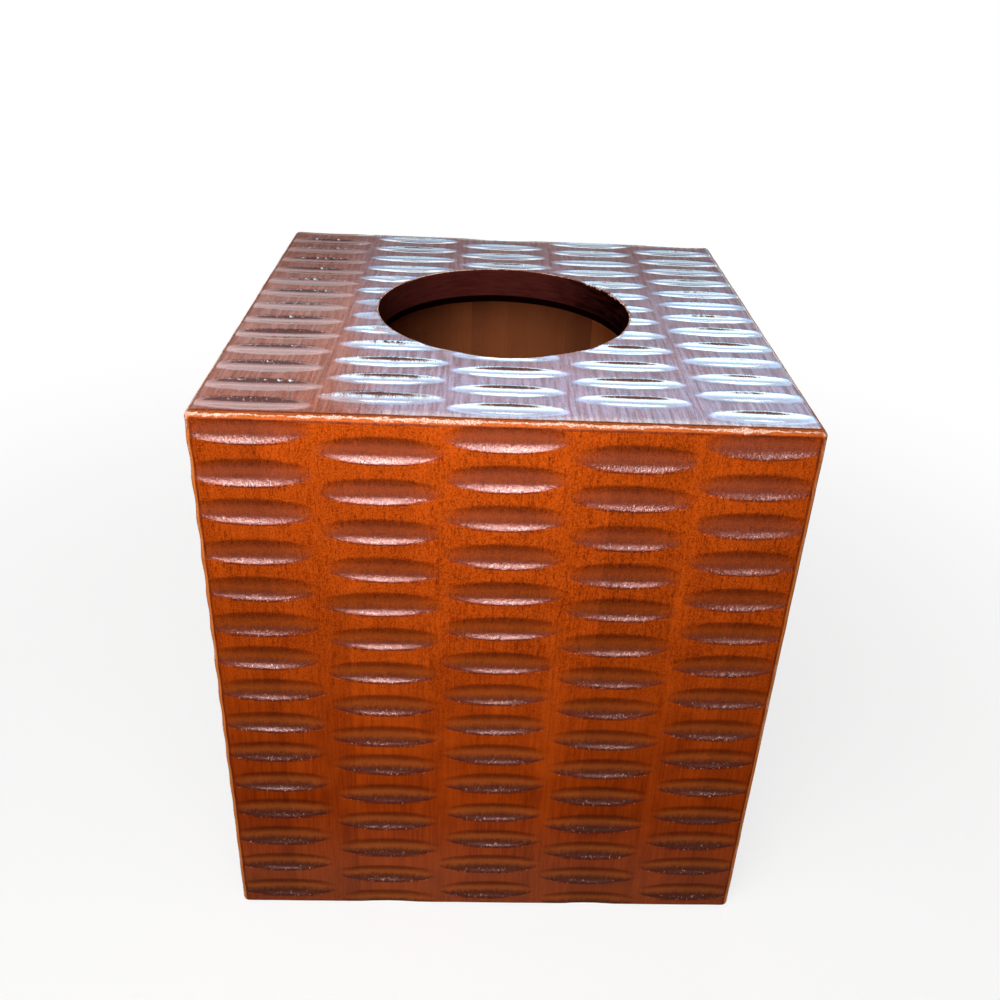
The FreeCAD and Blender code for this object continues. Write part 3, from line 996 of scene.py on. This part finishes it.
underside = height - stave["thickness"]      # of the top board
openingWall = {
    "stain": (0.080, 0.0155, 0.012, 1),
    "stainDark": (0.003, 0.0006, 0.0005, 1),
    "rings": (0.12, 1, 1500, 3, 0.6),        # turning scratches
    "ringsShown": (0.3, 0.75),
    "ringsShare": 0.35,
    "blotches": (1, 1, 110, 3, 0.6),
    "blotchesShare": 0.35,
    # painted shade towards the right
    "shadedRightFrom": (0.008, 0.030),
    "shadedRightShare": 0.6,
    "lowerEdge": (underside + 0.0022, underside + 0.0018),
    "roughness": 0.55,
    "specular": 0.0,
    "bumpStrength": 0.35,
    "bumpDepth": 0.0001,
}
bareInside = {
    "stain": (0.43, 0.114, 0.025, 1),
    "stainDark": (0.28, 0.068, 0.013, 1),
    "marks": {"Fibres": 0.16, "Bands": 0.30, "Pores": 0.14, "Blotches": 0.2},
    "toneStrength": 3.0,                     # the staves differ more in here
    "roughness": 0.6,
    "specular": 0.02,
    "bumpStrength": 0.3,
    "bumpDepth": 0.0001,
}


def makeWallWood(name):
    # the opening's wall: end grain that took the most stain, with turning scratches round it,
    # darkest along its lower edge, and with painted shade darkening it towards the right
    look = openingWall
    material, tree, inputs = newMaterial(name, look["roughness"], look["specular"])
    where = grainPlace(tree, False)
    rings = noise(tree, where, *look["rings"])
    blotches = noise(tree, where, *look["blotches"])
    place = addNode(tree, "ShaderNodeSeparateXYZ", {0: where}).outputs
    dark = weigh(tree, (spread(tree, rings, look["ringsShown"]), look["ringsShare"]),
                 (blotches, look["blotchesShare"]),
                 (spread(tree, place["X"], look["shadedRightFrom"]), look["shadedRightShare"]))
    dark = calculate(tree, "MAXIMUM", dark, spread(tree, place["Z"], look["lowerEdge"]))
    dark = calculate(tree, "MINIMUM", dark, 1.0)
    tree.links.new(mixColour(tree, dark, look["stain"], look["stainDark"]), inputs["Base Color"])
    addBump(tree, rings, look["bumpStrength"], look["bumpDepth"], inputs["Normal"])
    return material


def makeInsideWood(name):
    # inside and underneath: one thin coat of stain, planed but not carved or polished
    look = bareInside
    material, tree, inputs = newMaterial(name, look["roughness"], look["specular"])
    grain = placeGrain(tree, grainPlace(tree, False))
    dark = weigh(tree, *((grain[name], weight) for name, weight in look["marks"].items()))
    colour = mixColour(tree, dark, look["stain"], look["stainDark"])
    tone = calculate(tree, "POWER", attribute(tree, "staveToneAndShade"), look["toneStrength"])
    tree.links.new(toned(tree, colour, tone), inputs["Base Color"])
    addBump(tree, grain["Relief"], look["bumpStrength"], look["bumpDepth"], inputs["Normal"])
    return material


woods = {
    "sides": makeLacqueredWood("lacquered_sides", lacquers["sides"]),
    "top": makeLacqueredWood("lacquered_top", lacquers["top"]),
    "wall": makeWallWood("opening_wall"),
    "inside": makeInsideWood("bare_inside"),
}
print("finishes made")

for side, board in boards.items():
    nodes = sorted(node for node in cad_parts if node.startswith(f"{side}_stave_"))
    for node in nodes:
        makeStave(node, board, side)
    print(f"{side} board carved: {len(nodes)} staves")

room = {
    "floorSize": 12.0,
    "floorColour": (0.45, 0.45, 0.45, 1),
    "shadowColour": (0.95, 0.95, 0.95, 1),
    "shadowReach": (0.10, 0.40),   # from the cover: where the floor's own shading starts and ends to fade
    "shadowShare": 0.25,           # how much of it the camera sees close to the cover
    "fill": 0.20,                  # the world's own light
    "aim": 0.6,                    # share of the cover's height that the softboxes face
}
# place by angles seen from the cover: azimuth from the front to the right, elevation; in degrees
softboxes = {
    "key": {"azimuth": -15, "elevation": 52, "distance": 0.32, "wide": 0.20, "high": 0.20,
            "radiance": 5.6, "colour": (1.0, 0.97, 0.95)},
    "frontLamp": {"azimuth": -14, "elevation": 24, "distance": 0.38, "wide": 0.20, "high": 0.12,
                  "radiance": 7.0, "colour": (1.0, 0.97, 0.95), "diffuseOnly": True},
    "gleam": {"azimuth": -7, "elevation": 38, "distance": 0.50, "wide": 0.23, "high": 0.24,
              "radiance": 265.0, "colour": (1.0, 0.82, 0.80), "glossOnly": True},
    "glow": {"azimuth": -7, "elevation": 16, "distance": 0.43, "wide": 0.23, "high": 0.14,
             "radiance": 100.0, "colour": (1.0, 0.78, 0.77), "glossOnly": True},
    "backFill": {"azimuth": 170, "elevation": 35, "distance": 0.8, "wide": 0.5, "high": 0.4,
                 "radiance": 1.5, "colour": (1.0, 1.0, 1.0), "diffuseOnly": True},
}
aim = Vector((0, 0, room["aim"] * height))
# upright glowing cards behind the cover, seen only in the lacquer: across from and to, up from and
# to, radiance, colour
cardsBehind = 0.50      # metres behind the middle
skyCards = {
    "horizon": (-0.10, 0.40, 0.01, 0.255, 5.5, (0.70, 0.92, 1.0)),
    "lowSky": (-0.10, 0.40, 0.255, 0.30, 2.2, (0.18, 0.66, 1.0)),
    "midSky": (-0.10, 0.40, 0.30, 0.38, 4.4, (0.31, 0.64, 1.0)),
    "landSky": (-0.10, 0.40, 0.38, 0.47, 9.4, (0.34, 0.63, 1.0)),
    "blueSky": (-0.10, 0.40, 0.47, 0.60, 16.0, (0.58, 0.84, 1.0)),
    "highSky": (-0.10, 0.40, 0.60, 0.79, 15.0, (0.76, 0.95, 1.0)),
    "leftHorizon": (-0.55, -0.10, 0.22, 0.30, 0.8, (0.9, 0.80, 0.90)),
    "leftSky": (-0.55, -0.10, 0.30, 0.60, 2.2, (1.0, 0.76, 0.80)),
}


def hangLamp(name, place, turn, wide, high, radiance, colour):
    bpy.ops.object.light_add(type="AREA", location=place, rotation=turn)
    lamp = bpy.context.object
    lamp.name = name
    lamp.data.shape = "RECTANGLE"
    lamp.data.size, lamp.data.size_y = wide, high
    lamp.data.energy = radiance * math.pi * wide * high
    lamp.data.color = colour
    lamp.visible_camera = False
    return lamp


def hangSoftbox(name, box):
    azimuth, elevation = math.radians(box["azimuth"]), math.radians(box["elevation"])
    away = Vector((math.sin(azimuth) * math.cos(elevation), -math.cos(azimuth) * math.cos(elevation),
                   math.sin(elevation)))
    turn = away.to_track_quat("Z", "Y").to_euler()
    lamp = hangLamp(name, aim + away * box["distance"], turn, box["wide"], box["high"],
                    box["radiance"], box["colour"])
    lamp.visible_diffuse = "glossOnly" not in box
    lamp.visible_glossy = "diffuseOnly" not in box


def hangCard(name, left, right, low, high, radiance, colour):
    middle = ((left + right) / 2, cardsBehind, (low + high) / 2)
    turn = (math.radians(-90), 0, 0)
    lamp = hangLamp(name, middle, turn, right - left, high - low, radiance, colour)
    lamp.visible_diffuse = False


def seenDirectly(tree):
    path = addNode(tree, "ShaderNodeLightPath").outputs
    mirrored = calculate(tree, "MAXIMUM", path["Is Glossy Ray"], path["Is Transmission Ray"])
    return calculate(tree, "MAXIMUM", path["Is Camera Ray"], mirrored)


def layFloor():
    # the camera and reflections see it fade from its own shading near the cover to plain white
    bpy.ops.mesh.primitive_plane_add(size=room["floorSize"])
    floor = bpy.context.object
    floor.name = "floor"
    material = bpy.data.materials.new("pale_floor")
    material.use_nodes = True
    tree = material.node_tree
    tree.nodes.clear()
    away = addNode(tree, "ShaderNodeVectorMath", {0: objectPlace(tree)}, operation="LENGTH")
    share = spread(tree, away.outputs["Value"], room["shadowReach"], (room["shadowShare"], 0.0))
    plain = addNode(tree, "ShaderNodeBsdfDiffuse", {"Color": room["floorColour"]}).outputs[0]
    shaded = addNode(tree, "ShaderNodeBsdfDiffuse", {"Color": room["shadowColour"]}).outputs[0]
    white = addNode(tree, "ShaderNodeEmission", {"Strength": 1.0}).outputs[0]
    shown = addNode(tree, "ShaderNodeMixShader", {0: share, 1: white, 2: shaded}).outputs[0]
    whole = addNode(tree, "ShaderNodeMixShader", {0: seenDirectly(tree), 1: plain, 2: shown}).outputs[0]
    addNode(tree, "ShaderNodeOutputMaterial", {"Surface": whole})
    floor.data.materials.append(material)


def lightWorld():
    # the world lights softly, and the camera and reflections see it white
    world = bpy.data.worlds.new("studio")
    scene.world = world
    world.use_nodes = True
    tree = world.node_tree
    back = tree.nodes["Background"].inputs
    back["Color"].default_value = (1, 1, 1, 1)
    tree.links.new(ease(tree, seenDirectly(tree), (room["fill"], 1.0)), back["Strength"])


layFloor()
lightWorld()
for name, box in softboxes.items():
    hangSoftbox(name, box)
for name, card in skyCards.items():
    hangCard(name, *card)
scene.view_settings.view_transform = "Standard"
print("room lit")
